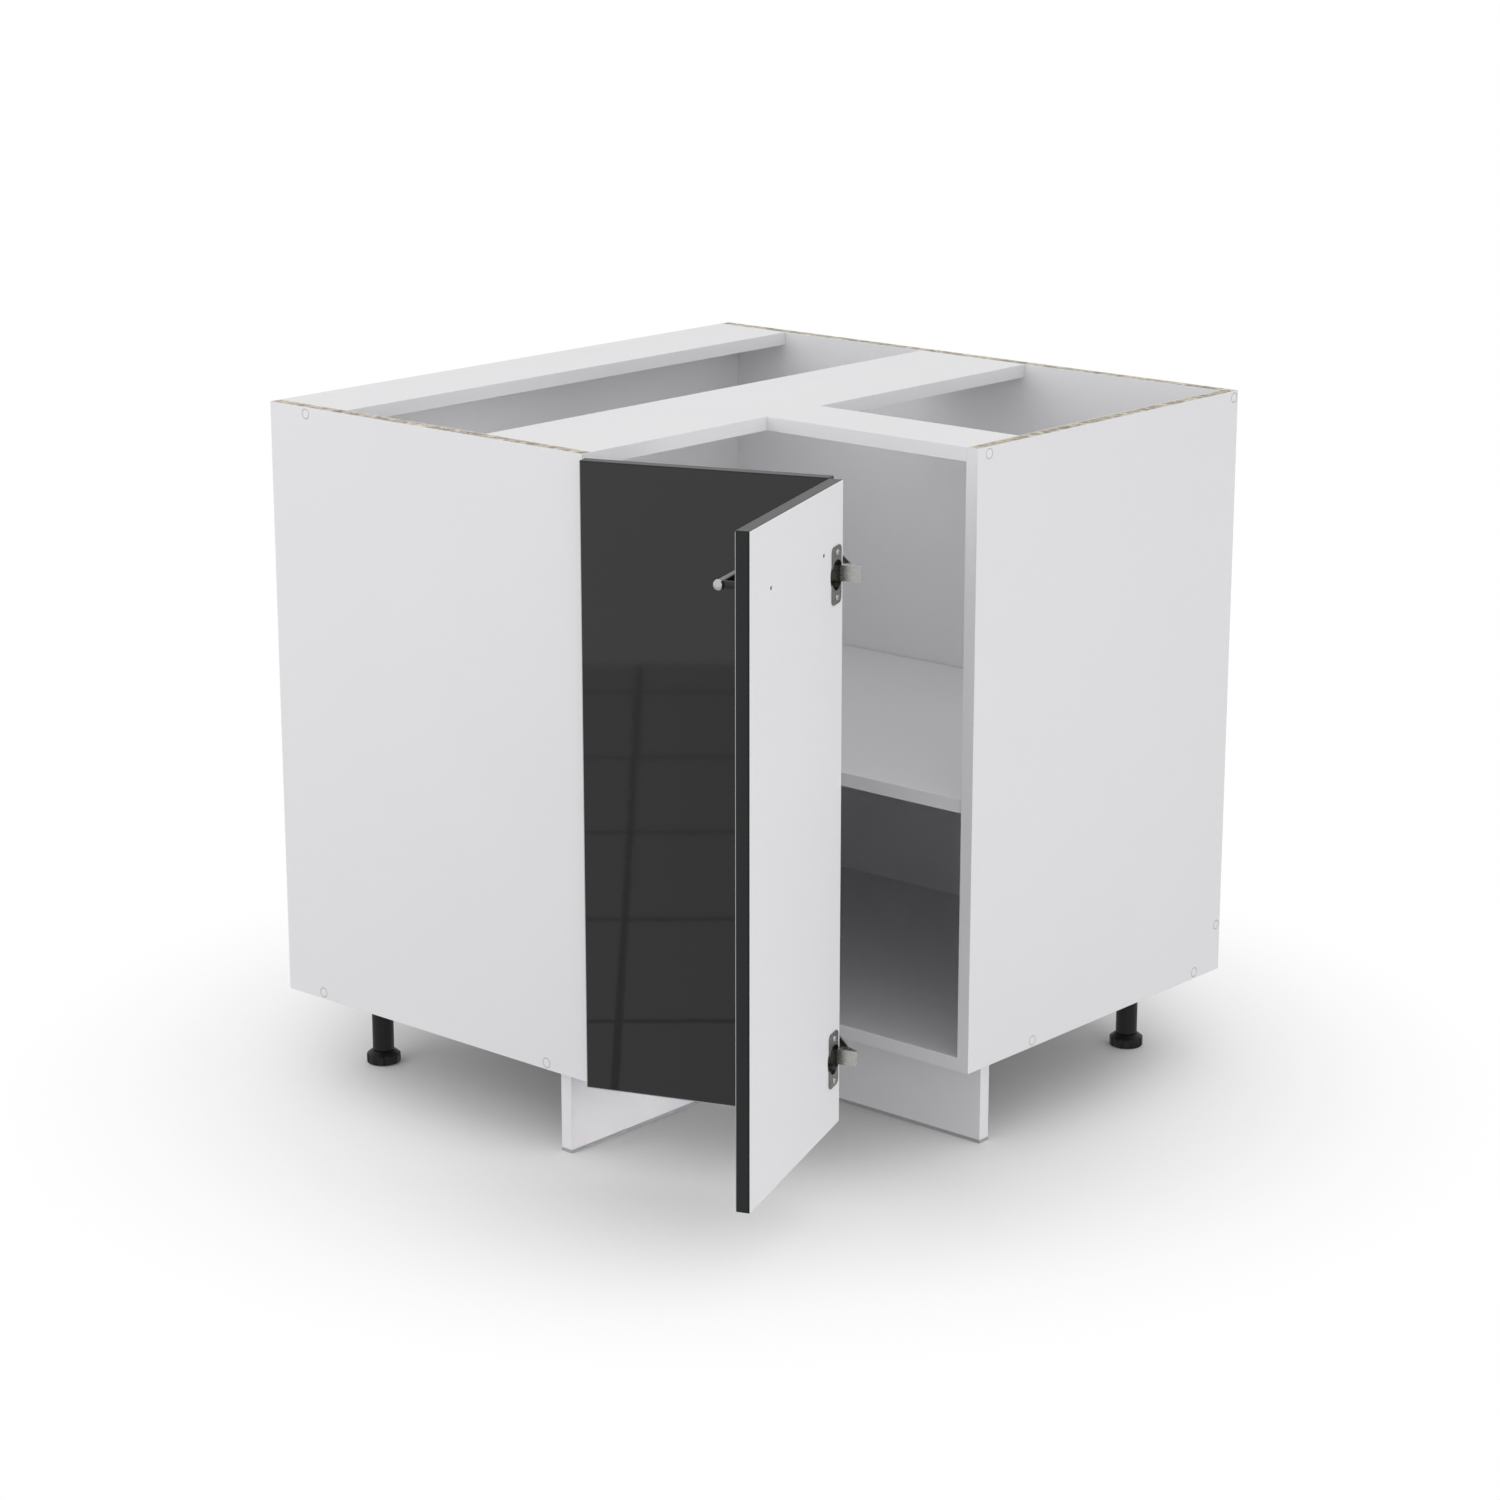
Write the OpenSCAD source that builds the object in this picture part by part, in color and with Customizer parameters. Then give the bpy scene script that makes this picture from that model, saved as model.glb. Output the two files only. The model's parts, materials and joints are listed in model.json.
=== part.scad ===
// Corner base cabinet with an L-shaped carcass and a folding pair of door leaves.
// The vertical edge in the room corner runs up from (wall_x, wall_y). One wing runs
// along -Y beside the left wall, the other along +X beside the rear wall.
// The underside of the foot nearest the room corner is the origin.

/* [Carcass] */
// Length of the cabinet along each wall
wall_length = 800; // [720:5:1000]
// Depth of each wing, from the wall to its front edges
wing_depth = 498; // [470:1:560]
// Height of the carcass without its legs
carcass_height = 716; // [600:1:900]
// Thickness of the carcass boards
board = 16; // [15:0.5:19]
// Thickness of the back sheet behind the left wing
back_sheet_t = 3; // [2.5:0.5:6]
// Free space between the left wall and the back sheet
service_gap = 28; // [20:1:60]
// Depth of the groove that holds the back sheet
groove_depth = 8; // [5:0.5:10]
// Width of the rail beside the left wall
back_rail_w = 112; // [80:1:140]
// Width of the rail across the middle of the cabinet
middle_rail_w = 162; // [100:1:200]
// Width of the rail over the opening of the right wing
front_rail_w = 93; // [60:1:120]

/* [Shelf] */
// Height of the shelf's underside above the carcass underside
shelf_z = 302; // [200:1:450]
// Set-back of the shelf behind the front edges
shelf_setback = 4; // [2:1:20]
// Clearance between the shelf and the boards round it
shelf_clearance = 1; // [0.5:0.5:2]
// Diameter of a shelf pin
shelf_pin_d = 5; // [4:0.5:6]

/* [Legs and plinth] */
// Height of the legs, from the floor to the carcass underside
leg_height = 100; // [90:1:170]
// Distance of a leg from the wall behind it
leg_wall = 70; // [55:1:120]
// Distance of a leg from the outer face of a side panel
leg_end = 85; // [60:1:120]
// Diameter of a leg tube
leg_tube_d = 26; // [22:1:34]
// Diameter of a foot
foot_d = 41; // [36:1:60]
// Height of a foot's grip ring
foot_h = 11; // [8:1:16]
// Set-back of the plinth behind the front edges
plinth_setback = 43; // [30:1:70]
// Distance of a plinth end from the outer face of a side panel
plinth_end = 15; // [0:1:40]
// Height of the sealing strip under the plinth
plinth_seal_h = 4; // [3:0.5:8]

/* [Door leaves] */
// Thickness of a door leaf
leaf_t = 16; // [15:0.5:19]
// Gap between the front edges and the back of a closed leaf
leaf_gap = 2; // [1.5:0.5:3]
// Reveal between a leaf's outer edge and the outer face of the side panel
edge_reveal = 1.5; // [1:0.5:3]
// Gap between the two leaves in the inner corner
fold_gap = 1; // [0.5:0.5:3]
// Reveal above the leaves
top_reveal = 4; // [2:0.5:10]
// Reveal below the leaves
bottom_reveal = 1; // [0:0.5:5]
// Angle to which the door pair stands open
open_angle = 69; // [20:1:110]

/* [Hinges] */
// Distance of an upper hinge from the top edge of a leaf
hinge_from_top = 97; // [70:1:140]
// Distance of a lower hinge from the bottom edge of a leaf
hinge_from_bottom = 79; // [70:1:140]
// Diameter of a hinge cup
cup_d = 35; // [26:1:35]
// Depth of a hinge cup below the back of the leaf
cup_depth = 11.5; // [10:0.5:12]
// Distance of a cup's rim from the edge of its leaf
cup_rim = 5; // [4:0.5:7]
// Height of a hinge arm
arm_h = 17; // [14:1:20]
// Thickness of the pressed hinge metal
metal_t = 1.5; // [1.2:0.1:2]

/* [Handle] */
// Distance between the handle's screw holes
handle_centres = 160; // [96:32:160]
// Overall length of the handle bar
handle_length = 174; // [172:1:230]
// Diameter of the handle bar
handle_d = 12; // [8:1:14]
// Clear space between the handle bar and the leaf
handle_space = 32; // [18:1:40]
// Distance of the handle from the top edge of its leaf
handle_drop = 69; // [50:1:150]

/* [Hidden] */
$fn = 48;

// The room corner, seen from the foot that is the origin
wall_x = -leg_wall;
wall_y = leg_wall;

// Heights
carcass_top = leg_height + carcass_height;
leaf_bottom = leg_height + bottom_reveal;
leaf_h = carcass_height - bottom_reveal - top_reveal;
hinge_heights = [leaf_bottom + hinge_from_bottom, leaf_bottom + leaf_h - hinge_from_top];

// Both leaves are as wide as a wing's front lets them be when closed
leaf_w = wall_length - wing_depth - edge_reveal - leaf_gap - leaf_t;
leaf_right_w = leaf_w - fold_gap;

// The door pair swings about the outer face of the left side panel
swing_x = wing_depth + leaf_gap;
swing_y = -wall_length;

// Carcass screws
screw_d = 5;
screw_len = 50;
screw_head_d = 7;
screw_head_h = 2.6;
cap_d = 12;
cap_h = 0.8;
cap_clearance = 0.15;
screw_sunk = cap_h + 0.2;

// Leg positions, in the order of the foot nodes
plinth_to_leg = 12;
front_leg = wing_depth - plinth_setback - board - leg_tube_d / 2 - plinth_to_leg;
leg_places = [
    [leg_wall, -leg_wall],
    [leg_wall, leg_end - wall_length],
    [front_leg, leg_end - wall_length],
    [front_leg, -front_leg],
    [wall_length - leg_end, -leg_wall],
    [wall_length - leg_end, -front_leg]];
stud_d = 10;
stud_clearance = 0.05;
socket_h = 22;
socket_wall = 3;
socket_plate = 48;
tube_bottom = foot_h + 6;

// Hinge cup and pivot
cup_wall = 1.2;
cup_flange_l = 62;
cup_flange_w = 28;
cup_centre = cup_rim + cup_d / 2;
pivot_off = 9;
pivot_in = 6;
pin_r = 2.5;
pin_clearance = 0.05;
knuckle_r = 4.8;
ear_t = 2;
ear_gap = 0.3;

// Moves from the room corner's frame to the origin
module in_room() translate([wall_x, wall_y, 0]) children();

// Moves what is drawn on the closed left leaf to where the leaf stands open
module on_left_leaf() in_room() translate([swing_x, swing_y, 0]) rotate([0, 0, -open_angle])
    translate([0, edge_reveal, 0]) children();

// A frame at the fold: +X along the right leaf, +Y outwards from its back, and the
// origin where the planes of the right leaf's back and near end meet
module on_right_leaf() on_left_leaf() translate([leaf_t + fold_gap, leaf_w + leaf_t, 0]) children();

// An L-shaped outline that follows both walls, its wings' fronts at depth d
module wing_outline(x0, y0, x1, y1, d) {
    polygon([[x0, y0], [x0, y1], [d, y1], [d, -d], [x1, -d], [x1, y0]]);
}

// A plate outline with round corners, centred on the origin
module rounded(w, l, r) {
    square([w - 2 * r, l], center = true);
    square([w, l - 2 * r], center = true);
    for (x = [-1, 1], y = [-1, 1]) translate([x * (w / 2 - r), y * (l / 2 - r)]) circle(r = r);
}

// A screw hole along +X from a face at x = 0, with its counterbore and the cap's recess
module screw_hole(len) {
    translate([-1, 0, 0]) rotate([0, 90, 0]) {
        cylinder(d = screw_d, h = len + 1);
        cylinder(d = screw_head_d, h = 1 + screw_sunk + screw_head_h);
        cylinder(d = cap_d + 2 * cap_clearance, h = 1 + cap_h);
    }
}

// A screw along +X with its head below the cap
module carcass_screw() {
    translate([screw_sunk, 0, 0]) rotate([0, 90, 0]) {
        cylinder(d = screw_head_d, h = screw_head_h);
        cylinder(d = screw_d, h = screw_len);
    }
}

// Screw places on the outer face of the left side panel: distance from the wall and height
left_screws = [[60, carcass_height - board / 2], [60, board / 2], [431, board / 2]];
// Screw places on the outer face of the right side panel
right_screws = [[wing_depth - 20, carcass_height - board / 2], [board / 2, carcass_height - board / 2],
    [378, board / 2], [52, board / 2], [board / 2, 58]];

module at_left_screws() for (s = left_screws)
    translate([s[0], -wall_length, leg_height + s[1]]) rotate([0, 0, 90]) children();

module at_right_screws() for (s = right_screws)
    translate([wall_length, -s[0], leg_height + s[1]]) rotate([0, 0, 180]) children();

// Pin holes for the shelf: each entry has a place on a panel face and the way into the board
pin_from_front = 50;
pin_from_back = 60;
shelf_pin_depth = 9;
shelf_pin_reach = 8;
pin_z = leg_height + shelf_z - shelf_pin_d / 2;
pin_places = [
    [service_gap + pin_from_back, board - wall_length, -90],
    [wing_depth - pin_from_front, board - wall_length, -90],
    [wall_length - board, -pin_from_back, 0],
    [wall_length - board, pin_from_front - wing_depth, 0],
    [service_gap + pin_from_back, -board, 90],
    [wing_depth - pin_from_back, -board, 90],
    [wall_length - pin_from_back, -board, 90]];

module at_shelf_pins() for (p = pin_places)
    translate([p[0], p[1], pin_z]) rotate([0, 0, p[2]]) rotate([0, 90, 0]) children();

module left_side_panel() {
    color("whitesmoke") in_room() difference() {
        translate([0, -wall_length, leg_height]) cube([wing_depth, board, carcass_height]);
        translate([service_gap, board - wall_length - groove_depth, leg_height - 1])
            cube([back_sheet_t, groove_depth + 1, carcass_height - board + 1]);
        at_left_screws() screw_hole(board + 1);
        at_shelf_pins() cylinder(d = shelf_pin_d, h = shelf_pin_depth);
    }
}

module right_side_panel() {
    color("whitesmoke") in_room() difference() {
        translate([wall_length - board, -wing_depth, leg_height]) cube([board, wing_depth, carcass_height]);
        at_right_screws() screw_hole(board + 1);
        at_shelf_pins() cylinder(d = shelf_pin_d, h = shelf_pin_depth);
    }
}

module rear_panel() {
    color("gainsboro") in_room() difference() {
        translate([0, -board, leg_height]) cube([wall_length - board, board, carcass_height]);
        translate([service_gap, -board - 1, leg_height - 1])
            cube([back_sheet_t, groove_depth + 1, carcass_height - board + 1]);
        at_right_screws() screw_hole(screw_len + 1);
        at_shelf_pins() cylinder(d = shelf_pin_d, h = shelf_pin_depth);
    }
}

module back_sheet() {
    play = 0.5;
    color("gainsboro") in_room()
        translate([service_gap, board - wall_length - groove_depth + play, leg_height])
        cube([back_sheet_t, wall_length - 2 * board + 2 * groove_depth - 2 * play, carcass_height - board]);
}

module bottom_panel() {
    color("whitesmoke") in_room() difference() {
        translate([0, 0, leg_height]) linear_extrude(board)
            wing_outline(service_gap + back_sheet_t, -board, wall_length - board, board - wall_length, wing_depth);
        at_left_screws() screw_hole(screw_len + 1);
        at_right_screws() screw_hole(screw_len + 1);
    }
}

module shelf() {
    play = shelf_clearance;
    color("whitesmoke") in_room() translate([0, 0, leg_height + shelf_z]) linear_extrude(board)
        wing_outline(service_gap + back_sheet_t + play, -board - play, wall_length - board - play,
            board - wall_length + play, wing_depth - shelf_setback);
}

module rail(x, y, w, l) {
    translate([x, y, carcass_top - board]) cube([w, l, board]);
}

module back_rail() {
    color("whitesmoke") in_room() difference() {
        rail(0, board - wall_length, back_rail_w, wall_length - 2 * board);
        at_left_screws() screw_hole(screw_len + 1);
    }
}

module middle_rail() {
    color("whitesmoke") in_room()
        rail(wing_depth - middle_rail_w, board - wall_length, middle_rail_w, wall_length - 2 * board);
}

module front_rail() {
    color("whitesmoke") in_room() difference() {
        rail(wing_depth, -wing_depth, wall_length - board - wing_depth, front_rail_w);
        at_right_screws() screw_hole(screw_len + 1);
    }
}

module shelf_pins() {
    color("silver") in_room() at_shelf_pins() translate([0, 0, -shelf_pin_reach])
        cylinder(d = shelf_pin_d, h = shelf_pin_reach + shelf_pin_depth - 0.5);
}

module carcass_screws() {
    color("silver") in_room() {
        at_left_screws() carcass_screw();
        at_right_screws() carcass_screw();
    }
}

module screw_cap() {
    rotate([0, 90, 0]) cylinder(d = cap_d, h = cap_h);
}

module screw_caps() {
    color("white") in_room() {
        at_left_screws() screw_cap();
        at_right_screws() screw_cap();
    }
}

// Plinth boards stand behind the front edges and meet in the inner corner
plinth_x = wing_depth - plinth_setback;
module plinth_left() {
    color("whitesmoke") in_room() translate([plinth_x - board, plinth_end - wall_length, plinth_seal_h])
        cube([board, wall_length - plinth_end - plinth_x, leg_height - plinth_seal_h]);
}

module plinth_right() {
    color("whitesmoke") in_room() translate([plinth_x, -plinth_x, plinth_seal_h])
        cube([wall_length - plinth_end - plinth_x, board, leg_height - plinth_seal_h]);
}

module plinth_seals() {
    color("darkgray") in_room() {
        translate([plinth_x - board, plinth_end - wall_length, 0])
            cube([board, wall_length - plinth_end - plinth_x, plinth_seal_h]);
        translate([plinth_x, -plinth_x, 0])
            cube([wall_length - plinth_end - plinth_x, board, plinth_seal_h]);
    }
}

// A sprung clip round a leg tube at the origin, its plate screwed to a board face at x = reach
clip_h = 14;
clip_wall = 2.5;
clip_play = 0.3;
clip_plate_w = 40;
clip_web = 10;
clip_upper_z = leg_height - socket_h - clip_h - 4;
clip_lower_z = clip_upper_z - clip_h - 6;
module plinth_clip(z) {
    reach = plinth_to_leg + leg_tube_d / 2;
    translate([0, 0, z]) difference() {
        union() {
            cylinder(d = leg_tube_d + 2 * (clip_wall + clip_play), h = clip_h);
            translate([leg_tube_d / 2, -clip_web / 2, 0]) cube([plinth_to_leg, clip_web, clip_h]);
            translate([reach - clip_wall, -clip_plate_w / 2, 0]) cube([clip_wall, clip_plate_w, clip_h]);
        }
        translate([0, 0, -1]) cylinder(d = leg_tube_d + 2 * clip_play, h = clip_h + 2);
        translate([-leg_tube_d, -leg_tube_d, -1]) cube([leg_tube_d - 4, 2 * leg_tube_d, clip_h + 2]);
    }
}

module plinth_clips() {
    color("dimgray") in_room() {
        translate(leg_places[2]) plinth_clip(clip_lower_z);
        translate(leg_places[3]) plinth_clip(clip_lower_z);
        translate(leg_places[3]) rotate([0, 0, -90]) plinth_clip(clip_upper_z);
        translate(leg_places[5]) rotate([0, 0, -90]) plinth_clip(clip_upper_z);
    }
}

// Leg parts, drawn at a leg's own axis
module leg_socket() {
    translate([0, 0, leg_height - 4]) linear_extrude(4) rounded(socket_plate, socket_plate, 6);
    translate([0, 0, leg_height - socket_h]) difference() {
        cylinder(d = leg_tube_d + 2 * socket_wall, h = socket_h - 2);
        translate([0, 0, -1]) cylinder(d = leg_tube_d, h = socket_h - 3);
    }
}

module leg_tube() {
    translate([0, 0, tube_bottom]) difference() {
        cylinder(d = leg_tube_d, h = leg_height - 4 - tube_bottom);
        translate([0, 0, -1]) cylinder(d = stud_d + 2 * stud_clearance, h = 46);
    }
}

module foot() {
    lobes = 10;
    sole_edge = 1.5;
    shoulder_h = 5;
    difference() {
        union() {
            rotate_extrude() polygon([
                [0, 0], [foot_d / 2 - sole_edge, 0], [foot_d / 2, sole_edge], [foot_d / 2, foot_h],
                [leg_tube_d / 2 + 1, foot_h + shoulder_h], [0, foot_h + shoulder_h]]);
            cylinder(d = stud_d, h = tube_bottom + 38);
        }
        for (i = [0 : lobes - 1]) rotate([0, 0, i * 360 / lobes])
            translate([foot_d / 2 + 2.4, 0, 2]) cylinder(d = 8, h = foot_h + shoulder_h);
    }
}

module at_leg(i) in_room() translate(leg_places[i]) children();

module leg_sockets() { color("black") for (i = [0 : 5]) at_leg(i) leg_socket(); }
module leg_tubes() { color("black") for (i = [0 : 5]) at_leg(i) leg_tube(); }
module foot_corner() { color("black") at_leg(0) foot(); }
module foot_left_rear() { color("black") at_leg(1) foot(); }
module foot_left_front() { color("black") at_leg(2) foot(); }
module foot_inner() { color("black") at_leg(3) foot(); }
module foot_right_rear() { color("black") at_leg(4) foot(); }
module foot_right_front() { color("black") at_leg(5) foot(); }

// Puts its children at both hinge heights
module at_hinges() for (z = hinge_heights) translate([0, 0, z]) children();

// A cup pocket in a leaf whose back is at y = 0 and whose body lies at -y
module cup_pocket() rotate([90, 0, 0]) translate([0, 0, -1]) cylinder(d = cup_d, h = cup_depth + 1.2);

// A pressed hinge cup with its flange on the back of a leaf, the back at y = 0
module hinge_cup() {
    flange_t = metal_t;
    difference() {
        union() {
            rotate([90, 0, 0]) cylinder(d = cup_d, h = cup_depth);
            rotate([-90, 0, 0]) linear_extrude(flange_t) rounded(cup_flange_w, cup_flange_l, 6);
        }
        rotate([90, 0, 0]) translate([0, 0, -flange_t - 1])
            cylinder(d = cup_d - 2 * cup_wall, h = cup_depth - cup_wall + flange_t + 1);
        at_cup_screws() translate([0, 0, -1]) cylinder(d = cup_screw_d, h = flange_t + 2);
    }
}

// Places of a cup's two screws, their axes out of the leaf's back at y = 0
cup_screw_from_end = 7;
cup_screw_l = 13;
cup_screw_d = 4;
cup_screw_head_d = 7;
cup_screw_head_h = 1.8;
module at_cup_screws() for (s = [-1, 1])
    translate([0, 0, s * (cup_flange_l / 2 - cup_screw_from_end)]) rotate([-90, 0, 0]) children();

// A pan-head screw through the flange into the leaf, its cross recess in the head
module cup_screw() {
    difference() {
        union() {
            translate([0, 0, metal_t - cup_screw_l]) cylinder(d = cup_screw_d, h = cup_screw_l);
            translate([0, 0, metal_t]) cylinder(d1 = cup_screw_head_d, d2 = cup_screw_d + 1.2, h = cup_screw_head_h);
        }
        for (a = [0, 90]) rotate([0, 0, a]) translate([-1.9, -0.4, metal_t + cup_screw_head_h - 1.3])
            cube([3.8, 0.8, 2]);
    }
}

module at_left_cups() on_left_leaf() at_hinges() translate([0, cup_centre, 0]) rotate([0, 0, 90]) children();
module at_right_cups() on_right_leaf() at_hinges() translate([cup_centre, 0, 0]) children();

module door_leaf_left() {
    color("darkslategray") difference() {
        on_left_leaf() translate([0, 0, leaf_bottom]) cube([leaf_t, leaf_w, leaf_h]);
        at_left_cups() {
            cup_pocket();
            at_cup_screws() translate([0, 0, metal_t - cup_screw_l]) cylinder(d = cup_screw_d, h = cup_screw_l);
        }
    }
}

// The handle's studs and their holes, along the right leaf
stud_r = 2;
stud_in = 12;
stud_sunk = 4;
stud_hole_r = 2.3;
handle_mid = leaf_right_w / 2;
handle_z = leaf_bottom + leaf_h - handle_drop;
module at_handle_posts() for (s = [-1, 1]) translate([handle_mid + s * handle_centres / 2, 0, handle_z])
    rotate([90, 0, 0]) children();

module door_leaf_right() {
    color("darkslategray") difference() {
        on_right_leaf() translate([0, -leaf_t, leaf_bottom]) cube([leaf_right_w, leaf_t, leaf_h]);
        on_right_leaf() at_handle_posts() translate([0, 0, -1]) cylinder(r = stud_hole_r, h = leaf_t + 2);
        at_right_cups() {
            cup_pocket();
            at_cup_screws() translate([0, 0, metal_t - cup_screw_l]) cylinder(d = cup_screw_d, h = cup_screw_l);
        }
    }
}

// The swing hinges: plates on the left side panel's inner face, arms that reach the front,
// and cups in the left leaf
module at_swing_plates() in_room() at_hinges() translate([wing_depth, board - wall_length, 0]) children();
plate_from_front = 37;
plate_l = 50;
plate_w = 12;
plate_h = 58;
plate_top = 6;
module swing_hinge_plates() {
    color("silver") at_swing_plates() translate([-plate_from_front, 0, 0]) {
        translate([-plate_w / 2, 0, -plate_h / 2]) cube([plate_w, 3, plate_h]);
        translate([-plate_l / 2, 0, -arm_h / 2 + metal_t + 0.3])
            cube([plate_l, plate_top, arm_h - 2 * metal_t - 0.6]);
    }
}

arm_l = 62;
arm_rise = 9;
nose = 11.5;
module swing_hinge_arms() {
    color("silver") at_swing_plates() difference() {
        translate([-arm_l, plate_top - 3, -arm_h / 2]) cube([arm_l + nose, arm_rise + 3 - metal_t, arm_h]);
        translate([-arm_l - 1, 0, -arm_h / 2 + metal_t])
            cube([arm_l + 1 - 12, plate_top + arm_rise - 3 - metal_t, arm_h - 2 * metal_t]);
    }
}

// Outer links that stand beside the arm's nose when the leaf is open and pass over the arm
link_r = 3.6;
link_reach = 17;
link_y = 18.7;
module swing_hinge_cups() {
    color("silver") at_left_cups() hinge_cup();
    color("silver") on_left_leaf() at_hinges() {
        for (s = [-1, 1]) translate([0, 0, s * (arm_h / 2 + ear_gap + ear_t / 2) - ear_t / 2])
            linear_extrude(ear_t) hull() {
                translate([-link_reach, link_y]) circle(r = link_r);
                translate([-metal_t, link_y - link_r]) square([metal_t + cup_depth - cup_wall / 2, 14]);
            }
    }
}

// The fold hinges: each cup carries a bracket that stands off the right leaf's back, and the
// arm from the left leaf's back turns on the pin between the bracket's two ears
module at_pivots() on_right_leaf() at_hinges() translate([pivot_in, pivot_off, 0]) children();
leaf_back_x = -leaf_t - fold_gap - pivot_in;
arm_foot_y = -leaf_t - pivot_off;
fold_arm_h = arm_h - 2 * ear_gap - 2 * ear_t;
arm_slant = 40;
arm_inner = 2.2;
arm_box = 9;
arm_base_l = 48;
arm_plate = 3;
arm_plate_w = 16;
bend_x = leaf_back_x - arm_box + 1.3;
arm_web_from = 5.5;
arm_web_end_h = 28;

// A point of the slanted arm's side, at a distance across from the pivot and at a given x
function slant_point(across, x) = [x, across / cos(arm_slant) + x * tan(arm_slant)];

module fold_arm_outline() {
    polygon([
        [-knuckle_r * sin(arm_slant), knuckle_r * cos(arm_slant)], slant_point(knuckle_r, bend_x),
        [leaf_back_x - arm_box, arm_foot_y - 6], [leaf_back_x, arm_foot_y - 6],
        slant_point(-arm_inner, leaf_back_x), [arm_inner * sin(arm_slant), -arm_inner * cos(arm_slant)]]);
    circle(r = knuckle_r);
}

// The arm's outer web, which grows taller towards the left leaf
module fold_arm_web() {
    far = (bend_x + knuckle_r * sin(arm_slant)) / cos(arm_slant);
    rotate([0, 0, arm_slant]) translate([0, knuckle_r, 0]) rotate([90, 0, 0]) linear_extrude(metal_t)
        polygon([[-arm_web_from, -arm_h / 2], [-arm_web_from, arm_h / 2],
            [far, arm_web_end_h / 2], [far, -arm_web_end_h / 2]]);
}

module fold_hinge_arms() {
    color("silver") at_pivots() difference() {
        union() {
            translate([0, 0, -fold_arm_h / 2]) linear_extrude(fold_arm_h) fold_arm_outline();
            fold_arm_web();
            translate([leaf_back_x - arm_box, arm_foot_y - arm_base_l, -arm_h / 2])
                cube([arm_box, arm_base_l - 2, arm_h]);
            translate([leaf_back_x - arm_plate, arm_foot_y - arm_base_l + 6, -plate_h / 2])
                cube([arm_plate, arm_plate_w, plate_h]);
        }
        translate([0, 0, -arm_h]) cylinder(r = pin_r + pin_clearance, h = 2 * arm_h);
    }
}

bracket_out = 24;
bracket_x = pivot_in + knuckle_r + 0.7;
bracket_foot = cup_rim + 2.6;
bracket_floor = cup_wall / 2 - cup_depth;
bracket_end = bracket_x + metal_t;
module fold_hinge_cups() {
    color("silver") on_right_leaf() at_hinges() {
        translate([cup_centre, 0, 0]) hinge_cup();
        translate([bracket_x, bracket_floor, -arm_h / 2])
            cube([metal_t, bracket_out - bracket_floor, arm_h]);
        for (s = [-1, 1]) translate([0, 0, s * (arm_h - ear_t) / 2]) difference() {
            translate([0, 0, -ear_t / 2]) linear_extrude(ear_t) {
                hull() {
                    translate([pivot_in, pivot_off]) circle(r = knuckle_r);
                    translate([bracket_foot, 0]) square([bracket_end - bracket_foot, metal_t]);
                    translate([bracket_x, 0]) square([metal_t, bracket_out]);
                }
                translate([bracket_foot, bracket_floor])
                    square([bracket_end - bracket_foot, metal_t - bracket_floor]);
            }
            translate([pivot_in, pivot_off, -ear_t]) cylinder(r = pin_r, h = 2 * ear_t);
        }
    }
}

module swing_cup_screws() { color("silver") at_left_cups() at_cup_screws() cup_screw(); }
module fold_cup_screws() { color("silver") at_right_cups() at_cup_screws() cup_screw(); }

module fold_hinge_pins() {
    color("dimgray") at_pivots() translate([0, 0, -arm_h / 2]) cylinder(r = pin_r, h = arm_h);
}

// The handle, in front of the right leaf
post_r = 4;
bar_y = -leaf_t - handle_space - handle_d / 2;
module handle_bar() {
    color("lightgray") on_right_leaf() difference() {
        translate([handle_mid - handle_length / 2, bar_y, handle_z]) rotate([0, 90, 0])
            cylinder(d = handle_d, h = handle_length);
        at_handle_posts() translate([0, 0, leaf_t + handle_space]) cylinder(r = post_r, h = handle_d / 2);
    }
}

module handle_posts() {
    color("lightgray") on_right_leaf() at_handle_posts() difference() {
        translate([0, 0, leaf_t]) cylinder(r = post_r, h = handle_space + handle_d / 2);
        translate([0, 0, leaf_t - 1]) cylinder(r = stud_r, h = stud_in + 1);
    }
}

module handle_screws() {
    color("silver") on_right_leaf() at_handle_posts()
        translate([0, 0, stud_sunk]) cylinder(r = stud_r, h = leaf_t - stud_sunk + stud_in);
}

left_side_panel();
right_side_panel();
rear_panel();
back_sheet();
bottom_panel();
shelf();
back_rail();
middle_rail();
front_rail();
shelf_pins();
carcass_screws();
screw_caps();
plinth_left();
plinth_right();
plinth_seals();
plinth_clips();
leg_sockets();
leg_tubes();
foot_corner();
foot_left_rear();
foot_left_front();
foot_inner();
foot_right_rear();
foot_right_front();
door_leaf_left();
door_leaf_right();
swing_hinge_plates();
swing_hinge_arms();
swing_hinge_cups();
swing_cup_screws();
fold_hinge_arms();
fold_hinge_cups();
fold_hinge_pins();
fold_cup_screws();
handle_bar();
handle_posts();
handle_screws();
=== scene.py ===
import json
import math

import bmesh
import bpy
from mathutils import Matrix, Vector


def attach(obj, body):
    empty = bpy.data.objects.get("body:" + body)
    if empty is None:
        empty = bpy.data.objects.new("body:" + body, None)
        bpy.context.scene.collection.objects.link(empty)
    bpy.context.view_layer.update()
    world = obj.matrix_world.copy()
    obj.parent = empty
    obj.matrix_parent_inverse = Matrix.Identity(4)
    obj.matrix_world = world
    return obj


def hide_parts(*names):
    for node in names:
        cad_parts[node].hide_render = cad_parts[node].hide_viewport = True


bl_info = {
    "name": "Corner Base Cabinet Finishes",
    "version": (1, 0, 0),
    "blender": (4, 5, 0),
    "location": "View3D > Sidebar > Cabinet",
    "description": "Softens a corner base cabinet's boards, finishes its pieces and sets up a pale studio",
    "category": "Object",
}

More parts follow.
